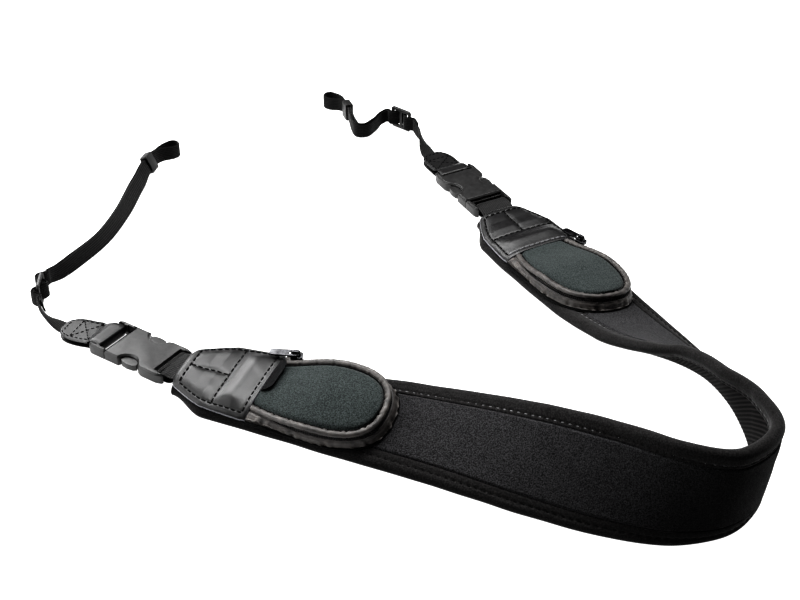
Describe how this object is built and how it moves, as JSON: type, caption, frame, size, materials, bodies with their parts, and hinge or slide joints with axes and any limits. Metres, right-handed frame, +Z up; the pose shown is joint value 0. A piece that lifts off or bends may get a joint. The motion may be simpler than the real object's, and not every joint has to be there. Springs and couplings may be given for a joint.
{
  "type": "camera neck strap",
  "caption": "Padded neck strap laid in a U, with a leather cap, zipped pocket, side-release buckle and narrow webbing loop at each end for fastening to a camera.",
  "frame": {"origin": "middle of the strap's box, on the surface that it lies on", "axes": "+Z up from the surface, +X to the right and +Y away from the viewer in the usual view"},
  "size_m": [0.4541, 0.5143, 0.0637],
  "materials": {
    "pad_cloth": "charcoal black stretch jersey over foam, matt with a fine speckle",
    "binding_cloth": "folded black edge tape with a row of stitches",
    "grip_cloth": "ribbed black grip lining",
    "leather": "smooth black leather with satin sheen and stitched borders",
    "gusset_cloth": "puckered black-brown side cloth",
    "zip_tape": "black coil zip on woven tape",
    "piping_cloth": "rolled black-brown piping",
    "lid_cloth": "dark green-grey stretch jersey, matt",
    "gunmetal": "dark plated zip metal",
    "webbing": "black ribbed webbing",
    "buckle_plastic": "satin black moulded plastic",
    "label_cloth": "plain black woven label"
  },
  "bodies": {
    "strap": {"neck_pad": "pad_cloth", "edge_binding_outer": "binding_cloth", "edge_binding_inner": "binding_cloth", "grip_back": "grip_cloth", "end_cap_left": "leather", "pocket_gusset_left": "gusset_cloth", "pocket_zipper_left": "zip_tape", "lid_piping_left": "piping_cloth", "pocket_lid_left": "lid_cloth", "zip_slider_left": "gunmetal", "pad_webbing_left": "webbing", "buckle_female_left": "buckle_plastic", "buckle_male_left": "buckle_plastic", "leather_tab_left": "leather", "webbing_left": "webbing", "triglide_left": "buckle_plastic", "keeper_left": "buckle_plastic", "end_cap_right": "leather", "pocket_gusset_right": "gusset_cloth", "pocket_zipper_right": "zip_tape", "lid_piping_right": "piping_cloth", "pocket_lid_right": "lid_cloth", "zip_slider_right": "gunmetal", "pad_webbing_right": "webbing", "buckle_female_right": "buckle_plastic", "buckle_male_right": "buckle_plastic", "leather_tab_right": "leather", "webbing_right": "webbing", "triglide_right": "buckle_plastic", "keeper_right": "buckle_plastic", "fold_label_left": "label_cloth"},
    "pull_left": {"zip_pull_left": "gunmetal"},
    "pull_right": {"zip_pull_right": "gunmetal"}
  },
  "joints": [
    {"name": "pull_left_flip", "type": "hinge", "parent": "strap", "child": "pull_left", "pos_m": [-0.04676, -0.11367, 0.02383], "axis": [0.2187, 0.9645, 0.1478], "range_deg": [0, 170]},
    {"name": "pull_right_flip", "type": "hinge", "parent": "strap", "child": "pull_right", "pos_m": [0.14113, 0.02838, 0.01598], "axis": [0.7721, 0.6354, -0.0067], "range_deg": [0, 170]}
  ]
}
